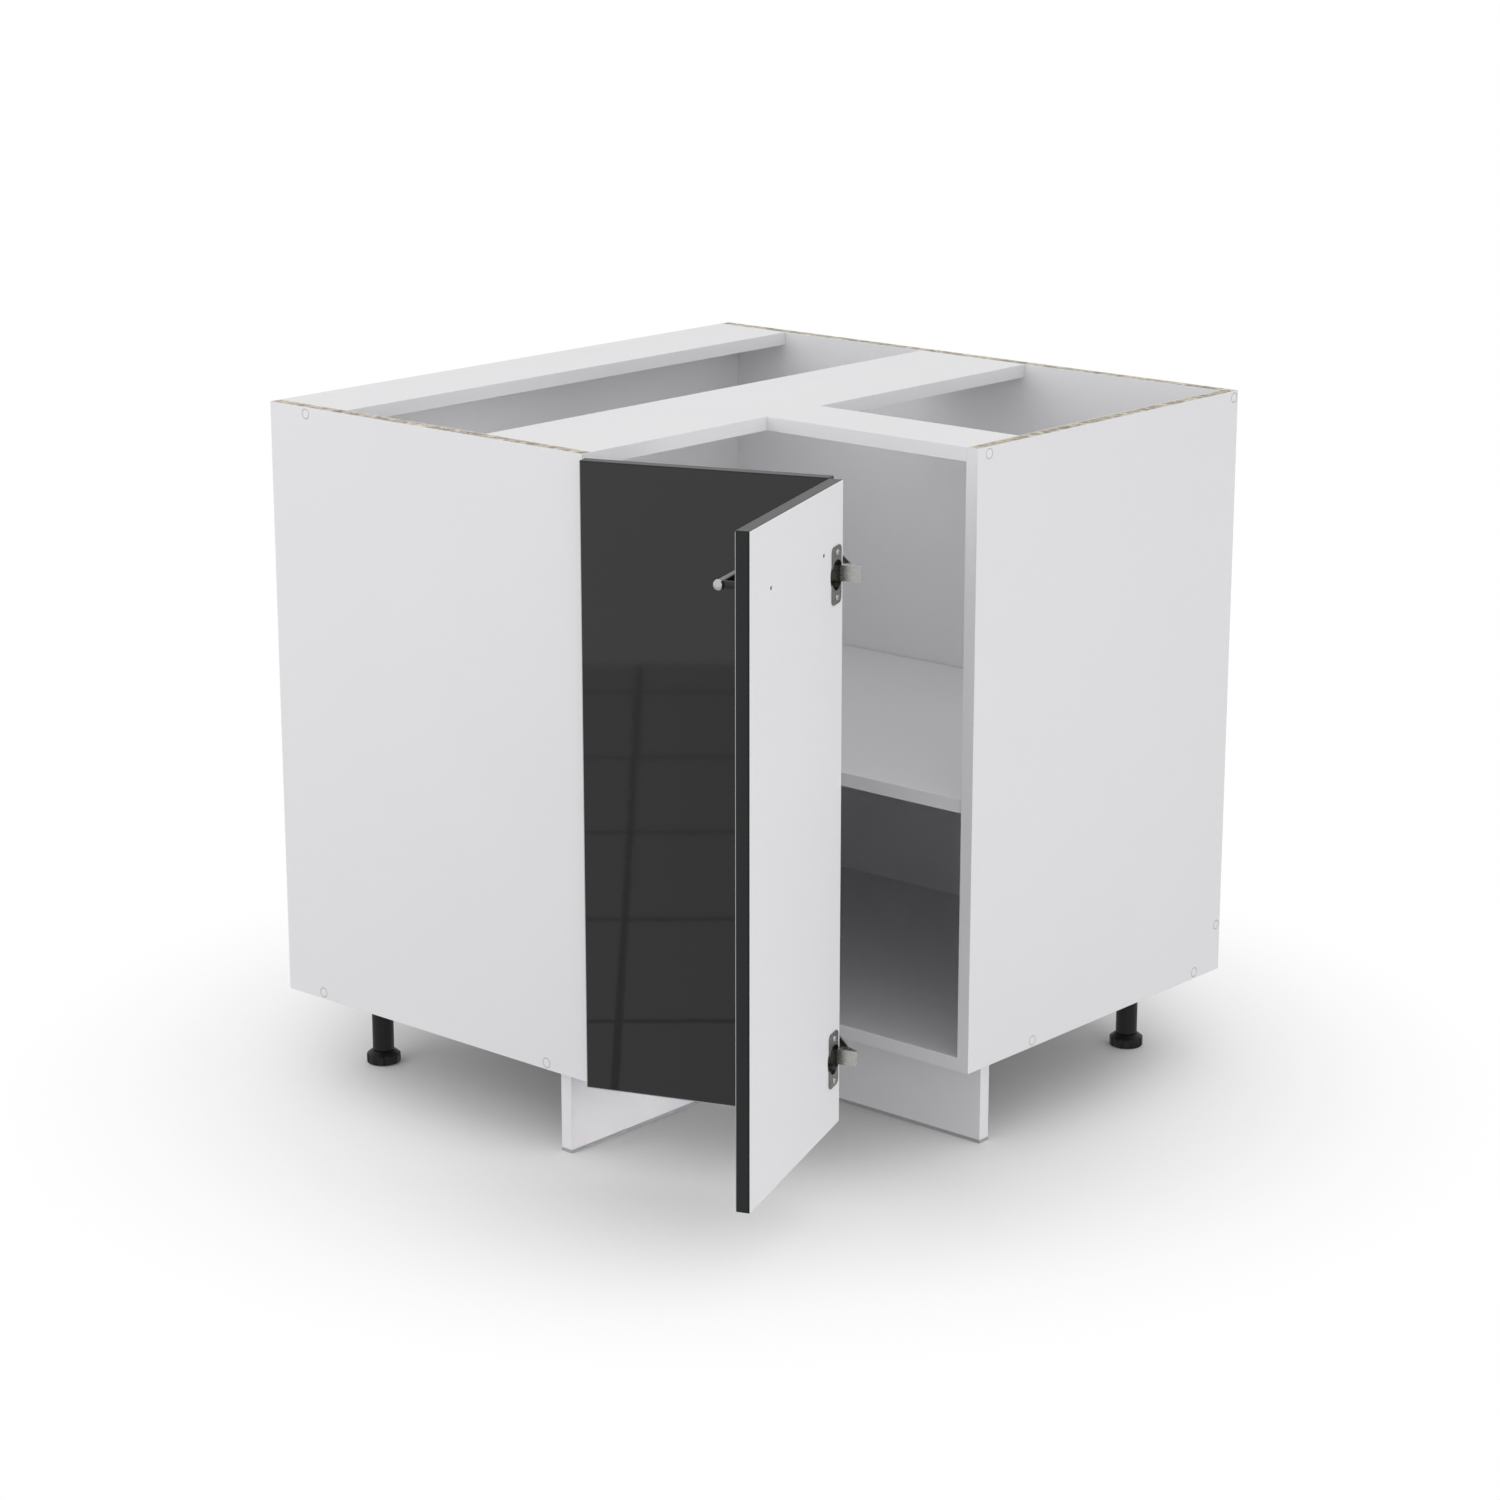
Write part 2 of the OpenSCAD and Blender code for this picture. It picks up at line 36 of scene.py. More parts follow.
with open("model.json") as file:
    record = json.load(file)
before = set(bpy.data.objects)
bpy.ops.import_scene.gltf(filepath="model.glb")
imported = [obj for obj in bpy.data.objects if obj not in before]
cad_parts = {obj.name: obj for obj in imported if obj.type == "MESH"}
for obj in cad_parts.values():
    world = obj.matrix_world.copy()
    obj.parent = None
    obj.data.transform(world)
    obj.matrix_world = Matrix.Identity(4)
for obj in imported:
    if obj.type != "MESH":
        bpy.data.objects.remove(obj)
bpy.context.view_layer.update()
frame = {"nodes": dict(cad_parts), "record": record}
NODES = frame["nodes"]
BODY_OF = {node: body for body, members in frame["record"]["behaviour"]["bodies"].items() for node in members}

# The open leaves' own frames, from the part: swing axis, open angle, board, gaps and width in metres
SWING = Vector((0.430, -0.730, 0.0))
OPEN_ANGLE = math.radians(69)
LEAF_T = 0.016
EDGE_REVEAL = 0.0015
FOLD_GAP = 0.001
LEAF_W = 0.2825
CARCASS_TOP = 0.816

# Depths in a front board, from its back: the white skin, and the end of the line of painted shade beside it
WHITE_SKIN = 0.0005
PAINTED_SHADE_LINE = 0.0026
# A hinge flange lies within this depth of the leaf's back, with its bracket further out and its cup further in
FLANGE_REACH = 0.0016

# The ring of painted shade round a screw cap and the depth of a bare chipboard core below its skins
CAP_SHADE_RING = 0.0008
CORE_SUNK = 0.0002
# Rounding of the handle's ends
HANDLE_ROUND = 0.003

# Faces from this area up, in square metres, are flat
FLAT_AREA = 1e-4

# What the gloss fronts mirror: a floor's tile joints along x and y, their widths, and where a wall starts
TILE_STEP = 0.417
JOINT_X, JOINT_X_WIDTH = 0.462, 0.010
JOINT_Y, JOINT_Y_WIDTH = -2.92, 0.014
WALL_Y = -3.116
TILE_COLOR, JOINT_COLOR = (0.70, 0.70, 0.70, 1.0), (0.34, 0.34, 0.34, 1.0)

# Where the floor's painted shadow gets lighter and where the floor turns white: a centre and two distances from it
PAINTED_SHADOW = ((0.20, -0.20, 0.0), 0.38, 0.62)
FADE = ((0.33, -0.35, 0.0), 0.40, 0.95)

CAMERA_PLACE = (3.136, -3.551, 1.553)
CAMERA_TILT = math.radians(15.26)
CAMERA_TURN = math.radians(41.19)

WHITE = (1.0, 1.0, 1.0, 1.0)


def leaf_point(x, y):
    """A point of the left leaf's frame, its back at x = 0 and its outer edge at y = 0, in the cabinet's frame."""
    y += EDGE_REVEAL
    c, s = math.cos(OPEN_ANGLE), math.sin(OPEN_ANGLE)
    return Vector((SWING.x + x * c + y * s, SWING.y - x * s + y * c, 0.0))


def right_leaf_point(x, y):
    """A point of the right leaf's frame, along the leaf from the fold and outwards from its back."""
    return leaf_point(LEAF_T + FOLD_GAP + x, LEAF_W + LEAF_T + y)


# Node trees

def fill(tree, node, inputs):
    """Links or fills a node's inputs."""
    for key, value in inputs.items():
        if isinstance(value, bpy.types.NodeSocket):
            tree.links.new(value, node.inputs[key])
        else:
            node.inputs[key].default_value = value
    return node


def add(tree, kind, inputs=None, **settings):
    """Adds a node, sets its properties and links or fills its inputs."""
    node = tree.nodes.new(kind)
    for key, value in settings.items():
        setattr(node, key, value)
    return fill(tree, node, inputs or {})


def math_node(tree, operation, a, b=0.0, clamp=False):
    return add(tree, "ShaderNodeMath", {0: a, 1: b}, operation=operation, use_clamp=clamp).outputs[0]


def scaled(tree, value, factor, offset):
    """A value times a factor plus an offset."""
    return add(tree, "ShaderNodeMath", {0: value, 1: factor, 2: offset}, operation="MULTIPLY_ADD").outputs[0]


def mix_color(tree, factor, a, b):
    return add(tree, "ShaderNodeMix", {0: factor, 6: a, 7: b}, data_type="RGBA").outputs[2]


def mix_value(tree, factor, a, b):
    return add(tree, "ShaderNodeMix", {0: factor, 2: a, 3: b}, data_type="FLOAT").outputs[0]


def rgba(color):
    return (color[0], color[1], color[2], 1.0)


def new_group(name, inputs, outputs):
    """A shader node group with named sockets; inputs and outputs are (name, type, default)."""
    group = bpy.data.node_groups.new(name, "ShaderNodeTree")
    for label, kind, default in inputs:
        socket = group.interface.new_socket(label, in_out="INPUT", socket_type=kind)
        if default is not None:
            socket.default_value = default
    for label, kind in outputs:
        group.interface.new_socket(label, in_out="OUTPUT", socket_type=kind)
    return group, group.nodes.new("NodeGroupInput"), group.nodes.new("NodeGroupOutput")


def use_group(tree, group, inputs):
    node = tree.nodes.new("ShaderNodeGroup")
    node.node_tree = group
    return fill(tree, node, inputs)


def make_chipboard_group():
    """Raw chipboard: flakes of several browns with dark gaps, and their relief."""
    group, start, end = new_group(
        "Raw chipboard",
        [("Vector", "NodeSocketVector", None), ("Pale", "NodeSocketColor", (0.80, 0.735, 0.61, 1)),
         ("Dark", "NodeSocketColor", (0.28, 0.24, 0.18, 1))],
        [("Color", "NodeSocketColor"), ("Height", "NodeSocketFloat")])
    flakes = add(group, "ShaderNodeTexVoronoi", {"Vector": start.outputs["Vector"], "Scale": 330.0}, feature="F1")
    patches = add(group, "ShaderNodeTexNoise", {"Vector": start.outputs["Vector"], "Scale": 90.0, "Detail": 4.0})
    tone = add(group, "ShaderNodeSeparateColor", {"Color": flakes.outputs["Color"]})
    share = scaled(group, patches.outputs["Fac"], 2.6, -1.15)
    share = math_node(group, "ADD", share, math_node(group, "MULTIPLY", tone.outputs[0], 0.6), clamp=True)
    color = mix_color(group, share, start.outputs["Dark"], start.outputs["Pale"])
    group.links.new(color, end.inputs["Color"])
    group.links.new(share, end.inputs["Height"])
    return group


def make_pearl_group():
    """The fine orange-peel texture and faint tone changes of a melamine or moulded face."""
    group, start, end = new_group(
        "Pearl face",
        [("Vector", "NodeSocketVector", None), ("Color", "NodeSocketColor", (0.8, 0.8, 0.8, 1)),
         ("Pearl Scale", "NodeSocketFloat", 1400.0), ("Tone Change", "NodeSocketFloat", 0.02)],
        [("Color", "NodeSocketColor"), ("Height", "NodeSocketFloat"), ("Cloud", "NodeSocketFloat")])
    pearl = add(group, "ShaderNodeTexNoise",
                {"Vector": start.outputs["Vector"], "Scale": start.outputs["Pearl Scale"], "Detail": 2.0})
    cloud = add(group, "ShaderNodeTexNoise", {"Vector": start.outputs["Vector"], "Scale": 7.0, "Detail": 3.0})
    drop = math_node(group, "MULTIPLY", cloud.outputs["Fac"], start.outputs["Tone Change"])
    keep = math_node(group, "SUBTRACT", 1.0, drop)
    color = add(group, "ShaderNodeVectorMath", {0: start.outputs["Color"], "Scale": keep}, operation="SCALE")
    group.links.new(color.outputs[0], end.inputs["Color"])
    group.links.new(pearl.outputs["Fac"], end.inputs["Height"])
    group.links.new(cloud.outputs["Fac"], end.inputs["Cloud"])
    return group


def make_brushed_group():
    """Lines drawn along one direction, as on brushed steel."""
    group, start, end = new_group(
        "Brushed lines",
        [("Vector", "NodeSocketVector", None), ("Angle", "NodeSocketFloat", 0.0),
         ("Fineness", "NodeSocketFloat", 2500.0)],
        [("Lines", "NodeSocketFloat")])
    turn = add(group, "ShaderNodeVectorRotate", {"Vector": start.outputs["Vector"], "Angle": start.outputs["Angle"]},
               rotation_type="Z_AXIS")
    stretch = add(group, "ShaderNodeVectorMath", {0: turn.outputs[0], 1: (0.02, 1.0, 1.0)}, operation="MULTIPLY")
    lines = add(group, "ShaderNodeTexNoise",
                {"Vector": stretch.outputs[0], "Scale": start.outputs["Fineness"], "Detail": 2.0})
    group.links.new(lines.outputs["Fac"], end.inputs["Lines"])
    return group


def new_material(name):
    """A material with its Principled shader and the piece's object coordinates."""
    material = bpy.data.materials.new(name)
    material.use_nodes = True
    tree = material.node_tree
    tree.nodes.clear()
    shader = add(tree, "ShaderNodeBsdfPrincipled")
    add(tree, "ShaderNodeOutputMaterial", {"Surface": shader.outputs[0]})
    place = add(tree, "ShaderNodeTexCoord").outputs["Object"]
    return material, tree, shader, place


def set_bump(tree, shader, height, distance):
    bump = add(tree, "ShaderNodeBump", {"Height": height, "Distance": distance, "Strength": 1.0})
    tree.links.new(bump.outputs[0], shader.inputs["Normal"])


def white_board_material(name, color, groups):
    """White melamine, satin, with a fine pearl texture."""
    material, tree, shader, place = new_material(name)
    face = use_group(tree, groups["pearl"], {"Vector": place, "Color": rgba(color)})
    tree.links.new(face.outputs["Color"], shader.inputs["Base Color"])
    tree.links.new(scaled(tree, face.outputs["Cloud"], 0.08, 0.38), shader.inputs["Roughness"])
    set_bump(tree, shader, face.outputs["Height"], 0.00003)
    return material


def chipboard_material(name, groups):
    """The bare chipboard core between a board's two melamine skins."""
    material, tree, shader, place = new_material(name)
    raw = use_group(tree, groups["chipboard"], {"Vector": place})
    tree.links.new(raw.outputs["Color"], shader.inputs["Base Color"])
    shader.inputs["Roughness"].default_value = 0.85
    set_bump(tree, shader, raw.outputs["Height"], 0.0004)
    return material


def lacquer_material(name, finish, groups):
    """Polished lacquer, almost black, with a very faint wave."""
    material, tree, shader, place = new_material(name)
    lacquer = use_group(tree, groups["pearl"], {"Vector": place, "Color": rgba(finish.front_color),
                                               "Pearl Scale": 60.0, "Tone Change": 0.1})
    tree.links.new(lacquer.outputs["Color"], shader.inputs["Base Color"])
    shader.inputs["Roughness"].default_value = finish.front_roughness
    shader.inputs["Specular IOR Level"].default_value = 0.45
    set_bump(tree, shader, lacquer.outputs["Height"], 0.000015)
    return material


def leaf_material(name, origin, front_low, finish, groups):
    """The rest of a front board: grey edging round it with a painted highlight on its side arrises and a line of
    painted shade by the back, and white melamine on the back.

    Origin is where the leaf's back and an edge meet, and front_low says on which side of the back the front lies."""
    material, tree, shader, place = new_material(name)
    own = add(tree, "ShaderNodeMapping",
              {"Vector": place, "Location": origin, "Rotation": (0.0, 0.0, -OPEN_ANGLE)}, vector_type="TEXTURE")
    xyz = add(tree, "ShaderNodeSeparateXYZ", {0: own.outputs[0]})
    depth = math_node(tree, "MULTIPLY", xyz.outputs[1], -1.0) if front_low else xyz.outputs[0]
    # Painted highlight: the side arrises next to the front get a light colour for the light they catch
    in_painted_highlight = math_node(tree, "GREATER_THAN", depth, LEAF_T - 0.8 * finish.front_edge)
    top = max(v.co.z for v in NODES["door_leaf_left"].data.vertices)
    is_side = math_node(tree, "LESS_THAN", xyz.outputs[2], top - finish.front_edge)
    in_painted_highlight = math_node(tree, "MULTIPLY", in_painted_highlight, is_side)
    # Painted shade: a darker band on the edging next to the white back
    in_painted_shade = math_node(tree, "LESS_THAN", depth, PAINTED_SHADE_LINE)
    is_back = math_node(tree, "LESS_THAN", depth, WHITE_SKIN)
    white = use_group(tree, groups["pearl"], {"Vector": place, "Color": rgba(finish.white_color)})
    base = mix_color(tree, in_painted_highlight, rgba(finish.edging_color), rgba(finish.arris_painted_highlight))
    base = mix_color(tree, in_painted_shade, base, rgba(finish.front_color))
    base = mix_color(tree, is_back, base, white.outputs["Color"])
    tree.links.new(base, shader.inputs["Base Color"])
    shader.inputs["Roughness"].default_value = 0.34
    shader.inputs["Specular IOR Level"].default_value = 0.13
    set_bump(tree, shader, math_node(tree, "MULTIPLY", white.outputs["Height"], is_back), 0.00003)
    return material


def plastic_material(name, color, roughness, groups, scale=1800.0, bump=0.00004):
    """Moulded plastic with a fine spark-eroded grain."""
    material, tree, shader, place = new_material(name)
    face = use_group(tree, groups["pearl"], {"Vector": place, "Color": rgba(color), "Pearl Scale": scale,
                                            "Tone Change": 0.15})
    tree.links.new(face.outputs["Color"], shader.inputs["Base Color"])
    tree.links.new(scaled(tree, face.outputs["Cloud"], 0.12, roughness - 0.06), shader.inputs["Roughness"])
    shader.inputs["Specular IOR Level"].default_value = 0.3
    set_bump(tree, shader, face.outputs["Height"], bump)
    return material


def plate(tree, shader, place, color, roughness, groups, mottle=0.12):
    """Makes a shader plated steel, faintly uneven in tone and gloss."""
    face = use_group(tree, groups["pearl"], {"Vector": place, "Color": color, "Pearl Scale": 500.0,
                                            "Tone Change": mottle})
    tree.links.new(face.outputs["Color"], shader.inputs["Base Color"])
    shader.inputs["Metallic"].default_value = 1.0
    tree.links.new(scaled(tree, face.outputs["Height"], 0.16, roughness - 0.08), shader.inputs["Roughness"])
    set_bump(tree, shader, face.outputs["Height"], 0.00002)


def plated_material(name, color, roughness, groups, mottle=0.12):
    """Nickel, zinc or dark plating in one colour; the fold arm's and the handle post's dark tones made with it are
    painted shade and painted reflection.
    """
    material, tree, shader, place = new_material(name)
    plate(tree, shader, place, rgba(color), roughness, groups, mottle)
    return material


def fold_cup_material(name, finish, groups):
    """Nickel plate in three tones: dark on the flange, a painted lighter tone in the cup to lift the shade of its
    hollow, and bright on the bracket.
    """
    material, tree, shader, place = new_material(name)
    own = add(tree, "ShaderNodeMapping",
              {"Vector": place, "Location": right_leaf_point(0, 0), "Rotation": (0.0, 0.0, -OPEN_ANGLE)},
              vector_type="TEXTURE")
    depth = add(tree, "ShaderNodeSeparateXYZ", {0: own.outputs[0]}).outputs[1]
    on_bracket = math_node(tree, "GREATER_THAN", depth, FLANGE_REACH)
    in_cup = math_node(tree, "LESS_THAN", depth, -FLANGE_REACH)
    color = mix_color(tree, on_bracket, rgba(finish.flange_color), rgba(finish.nickel_color))
    # Painted light: the cup gets a lighter tone than the flange to lift the shade of its hollow
    color = mix_color(tree, in_cup, color, rgba(finish.cup_painted_light))
    plate(tree, shader, place, color, 0.28, groups)
    return material


def brushed_material(name, color, groups, angle=0.0):
    """Brushed stainless steel, with its lines along the bar; its dark colour is a painted reflection."""
    material, tree, shader, place = new_material(name)
    lines = use_group(tree, groups["brushed"], {"Vector": place, "Angle": angle}).outputs["Lines"]
    tone = scaled(tree, lines, 0.18, 0.91)
    base = add(tree, "ShaderNodeVectorMath", {0: color, "Scale": tone}, operation="SCALE").outputs[0]
    tree.links.new(base, shader.inputs["Base Color"])
    shader.inputs["Metallic"].default_value = 1.0
    tree.links.new(scaled(tree, lines, 0.14, 0.10), shader.inputs["Roughness"])
    set_bump(tree, shader, lines, 0.00001)
    return material


MATERIALS = {}


def make_materials(finish):
    """Every finish of the cabinet, made once."""
    if MATERIALS:
        return MATERIALS
    groups = {"chipboard": make_chipboard_group(), "pearl": make_pearl_group(), "brushed": make_brushed_group()}
    MATERIALS.update({
        "white": white_board_material("White melamine", finish.white_color, groups),
        "chipboard": chipboard_material("Bare chipboard", groups),
        "lacquer": lacquer_material("Gloss lacquer", finish, groups),
        "left_front": leaf_material("Left front board", leaf_point(0, 0), False, finish, groups),
        "right_front": leaf_material("Right front board", right_leaf_point(0, 0), True, finish, groups),
        "black": plastic_material("Black leg plastic", finish.plastic_color, 0.5, groups),
        "cap": plastic_material("White cap plastic", finish.cap_color, 0.35, groups, 900.0, 0.00002),
        "cap_rim_painted_shade": plastic_material("Painted shade round the white caps", (0.60, 0.60, 0.605), 0.4, groups, 900.0, 0.00002),
        "seal": plastic_material("Grey seal plastic", finish.seal_color, 0.55, groups),
        "nickel": plated_material("Nickel plate", finish.nickel_color, 0.26, groups),
        "fold_cup": fold_cup_material("Nickel plate, dark flange, painted light in cup", finish, groups),
        # Painted shade: the fold arm's dark tone stands for the shade inside its U-shaped channel
        "fold_arm_painted_shade": plated_material("Fold arm, painted shade", (0.24, 0.24, 0.235), 0.30, groups),
        "screw": plated_material("Hinge screw plating", (0.52, 0.52, 0.50), 0.30, groups),
        # Painted reflection: the handle post's dark tone stands for the dark front it mirrors
        "post": plated_material("Dark handle post", (0.045, 0.045, 0.048), 0.30, groups),
        "dark_screw": plated_material("Dark handle screw", (0.012, 0.012, 0.013), 0.35, groups),
        "zinc": plated_material("Zinc plate", (0.62, 0.63, 0.64), 0.36, groups),
        "dark_zinc": plated_material("Burnished pin", (0.24, 0.24, 0.25), 0.32, groups),
        "steel": brushed_material("Brushed handle steel", finish.handle_painted_reflection, groups, OPEN_ANGLE - math.pi / 2),
        # Painted highlight: the handle's rounded ends get a lighter plating for the light they catch
        "painted_end_highlight": plated_material("Handle end, painted highlight", (0.50, 0.50, 0.51), 0.16, groups, 0.05),
    })
    return MATERIALS


def finish_piece(obj, material):
    """Gives a CAD node that keeps its own mesh its material."""
    obj.data.materials.clear()
    obj.data.materials.append(material)


def shade(bm, angle):
    """Smooth shading with sharp edges over the given angle, and flat shading of the larger faces."""
    bm.normal_update()
    for face in bm.faces:
        face.smooth = face.calc_area() < FLAT_AREA
    for edge in bm.edges:
        edge.smooth = not (len(edge.link_faces) == 2 and edge.calc_face_angle(0.0) > angle)


def put_on(name, bm, node, materials, angle=0.6):
    """Makes a mesh a finished piece that stands for a CAD node, rides on its body and takes its slot."""
    mesh = bpy.data.meshes.new(name)
    for material in materials:
        mesh.materials.append(material)
    shade(bm, angle)
    bm.to_mesh(mesh)
    bm.free()
    obj = bpy.data.objects.new(name, mesh)
    bpy.context.scene.collection.objects.link(obj)
    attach(obj, BODY_OF[node])
    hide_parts(node)


def merged_copy(node):
    """A bmesh copy of a CAD node, merged from loose triangles into whole flat faces."""
    bm = bmesh.new()
    bm.from_mesh(NODES[node].data)
    bmesh.ops.remove_doubles(bm, verts=bm.verts, dist=2e-6)
    bmesh.ops.dissolve_limit(bm, angle_limit=math.radians(0.5), verts=bm.verts, edges=bm.edges)
    return bm


def round_edges(bm, width, segments, least_angle, wanted):
    """Rounds the outer edges that are sharper than an angle and that the test wants."""
    edges = [e for e in bm.edges if len(e.link_faces) == 2 and e.is_convex and e.calc_face_angle(0.0) > least_angle
             and wanted(e)]
    bmesh.ops.bevel(bm, geom=edges, offset=width, offset_type="OFFSET", segments=segments, profile=0.5,
                    affect="EDGES", clamp_overlap=True, material=-1)
    return bm


def soften(bm, width, segments=2, shortest=0.010, least_angle=1.2):
    """Rounds the long sharp outer edges of a board."""
    return round_edges(bm, width, segments, least_angle, lambda edge: edge.calc_length() > shortest)


def round_small(bm, width, segments=2, wanted=lambda edge: True):
    """Rounds the sharp outer edges of a small part."""
    return round_edges(bm, width, segments, 0.7, wanted)


def bare_core(bm, skin):
    """Sinks the chipboard core of a board's top edge a little below its two melamine skins."""
    top = [f for f in bm.faces if f.normal.z > 0.99 and f.calc_center_median().z > CARCASS_TOP - 0.0001]
    bmesh.ops.inset_region(bm, faces=top, thickness=skin, depth=-CORE_SUNK, use_even_offset=True)
    for face in top:
        face.material_index = 1


# Sizes and colours that a user would change

class CabinetFinish(bpy.types.PropertyGroup):
    white_color: bpy.props.FloatVectorProperty(
        name="White melamine", description="Colour of the carcass boards", subtype="COLOR", size=3,
        default=(0.83, 0.83, 0.845), min=0.0, max=1.0)
    front_color: bpy.props.FloatVectorProperty(
        name="Front lacquer", description="Colour of the glossy fronts", subtype="COLOR", size=3,
        default=(0.018, 0.018, 0.019), min=0.0, max=1.0)
    edging_color: bpy.props.FloatVectorProperty(
        name="Front edging", description="Colour of the edging round the fronts", subtype="COLOR", size=3,
        default=(0.026, 0.027, 0.028), min=0.0, max=1.0)
    # Painted highlight: this light colour on the fronts' side arrises stands for the light they catch
    arris_painted_highlight: bpy.props.FloatVectorProperty(
        name="Front arris", description="Colour of the polished arris between edging and front", subtype="COLOR",
        size=3, default=(0.48, 0.48, 0.485), min=0.0, max=1.0)
    plastic_color: bpy.props.FloatVectorProperty(
        name="Leg plastic", description="Colour of the legs and clips", subtype="COLOR", size=3,
        default=(0.006, 0.006, 0.0065), min=0.0, max=1.0)
    cap_color: bpy.props.FloatVectorProperty(
        name="Screw caps", description="Colour of the caps over the carcass screws", subtype="COLOR", size=3,
        default=(0.90, 0.90, 0.905), min=0.0, max=1.0)
    seal_color: bpy.props.FloatVectorProperty(
        name="Plinth seal", description="Colour of the sealing strip under the plinth", subtype="COLOR", size=3,
        default=(0.42, 0.42, 0.43), min=0.0, max=1.0)
    nickel_color: bpy.props.FloatVectorProperty(
        name="Hinge plating", description="Colour of the hinges", subtype="COLOR", size=3,
        default=(0.57, 0.565, 0.54), min=0.0, max=1.0)
    flange_color: bpy.props.FloatVectorProperty(
        name="Hinge flange plating", description="Colour of the fold hinges' flanges", subtype="COLOR", size=3,
        default=(0.22, 0.22, 0.21), min=0.0, max=1.0)
    # Painted light: the cup's tone is lighter than the flange's to lift the shade inside the hollow
    cup_painted_light: bpy.props.FloatVectorProperty(
        name="Hinge cup plating", description="Colour inside the fold hinges' cups", subtype="COLOR", size=3,
        default=(0.38, 0.375, 0.36), min=0.0, max=1.0)
    # Painted reflection: the bar's dark colour stands for the dark front it mirrors
    handle_painted_reflection: bpy.props.FloatVectorProperty(
        name="Handle steel", description="Colour of the handle's bar", subtype="COLOR", size=3,
        default=(0.13, 0.13, 0.132), min=0.0, max=1.0)
    front_roughness: bpy.props.FloatProperty(
        name="Front roughness", description="Roughness of the front lacquer", subtype="FACTOR",
        default=0.035, min=0.0, max=1.0)
    board_edge: bpy.props.FloatProperty(
        name="Board edge radius", description="Radius of the carcass boards' edges", unit="LENGTH",
        default=0.0004, min=0.0001, max=0.002, precision=4)
    skin: bpy.props.FloatProperty(
        name="Melamine skin", description="Thickness of the skins beside a bare top edge", unit="LENGTH",
        default=0.0007, min=0.0002, max=0.002, precision=4)
    front_edge: bpy.props.FloatProperty(
        name="Front edge radius", description="Radius of the edging round the fronts", unit="LENGTH",
        default=0.0012, min=0.0002, max=0.003, precision=4)


class CabinetStudio(bpy.types.PropertyGroup):
    floor_color: bpy.props.FloatVectorProperty(
        name="Floor", description="Colour of the light that the floor throws back", subtype="COLOR", size=3,
        default=(0.62, 0.62, 0.625), min=0.0, max=1.0)
    # Painted shadow: the camera sees the floor round the cabinet darkened to this colour
    painted_shadow_color: bpy.props.FloatVectorProperty(
        name="Floor shade", description="Colour of the floor under the cabinet, as the camera sees it",
        subtype="COLOR", size=3, default=(0.70, 0.695, 0.69), min=0.0, max=1.0)
    dome_strength: bpy.props.FloatProperty(
        name="Dome strength", description="Brightness of the studio's soft dome", default=0.97, min=0.0, max=3.0)
    dome_fall: bpy.props.FloatProperty(
        name="Dome fall", description="Share by which the dome is dimmer overhead", subtype="FACTOR",
        default=0.22, min=0.0, max=1.0)
    key_power: bpy.props.FloatProperty(
        name="Key lamp", description="Power of the large lamp before the left wing", unit="POWER", default=18.5,
        min=0.0)
    fill_power: bpy.props.FloatProperty(
        name="Fill lamp", description="Power of the lamp beyond the right side panel", unit="POWER", default=10.2,
        min=0.0)
    plinth_power: bpy.props.FloatProperty(
        name="Plinth lamp", description="Power of the small low lamp that reaches under the leaves", unit="POWER",
        default=0.04, min=0.0)
    focal_length: bpy.props.FloatProperty(
        name="Focal length", description="Focal length of the camera", unit="CAMERA", default=88.82, min=20.0)


# One operator for each piece or group of like pieces

class CABINET_OT_carcass(bpy.types.Operator):
    """Rounds the edges of the carcass boards and gives them white melamine and bare top edges"""
    bl_idname = "cabinet.carcass"
    bl_label = "Carcass Boards"

    def execute(self, context):
        finish = context.scene.cabinet_finish
        made = make_materials(finish)
        raw = ("left_side_panel", "right_side_panel", "rear_panel")
        plain = ("bottom_panel", "shelf", "back_rail", "middle_rail", "front_rail", "plinth_left", "plinth_right")
        for node in raw + plain:
            bm = soften(merged_copy(node), finish.board_edge)
            faces = [made["white"]]
            if node in raw:
                bare_core(bm, finish.skin)
                faces.append(made["chipboard"])
            put_on(node + "_board", bm, node, faces, 0.5)
        finish_piece(NODES["back_sheet"], made["white"])
        return {"FINISHED"}


class CABINET_OT_fixings(bpy.types.Operator):
    """Finishes the carcass screws, their caps with a ring of painted shade round each, and the shelf pins"""
    bl_idname = "cabinet.fixings"
    bl_label = "Screws, Caps and Pins"

    def execute(self, context):
        made = make_materials(context.scene.cabinet_finish)
        for node in ("carcass_screws", "shelf_pins"):
            finish_piece(NODES[node], made["zinc"])
        bm = soften(merged_copy("screw_caps"), 0.0004, 2, 0.0001, 1.0)
        discs = [f for f in bm.faces if f.calc_area() > 5e-5]
        bmesh.ops.inset_individual(bm, faces=discs, thickness=CAP_SHADE_RING, use_even_offset=True)
        # Painted shade: the ring round each cap's disc takes a grey colour
        for face in bm.faces:
            face.material_index = int(face not in discs)
        put_on("cover_caps", bm, "screw_caps", [made["cap"], made["cap_rim_painted_shade"]])
        return {"FINISHED"}


class CABINET_OT_legs(bpy.types.Operator):
    """Finishes the legs, their sockets and feet, the plinth clips and the plinth's seal"""
    bl_idname = "cabinet.legs"
    bl_label = "Legs and Clips"

    def execute(self, context):
        made = make_materials(context.scene.cabinet_finish)
        for node in NODES:
            if node in ("leg_sockets", "leg_tubes", "plinth_clips"):
                finish_piece(NODES[node], made["black"])
            elif node.startswith("foot_"):
                put_on(node + "_grip", round_small(merged_copy(node), 0.0004), node, [made["black"]])
        finish_piece(NODES["plinth_seals"], made["seal"])
        return {"FINISHED"}


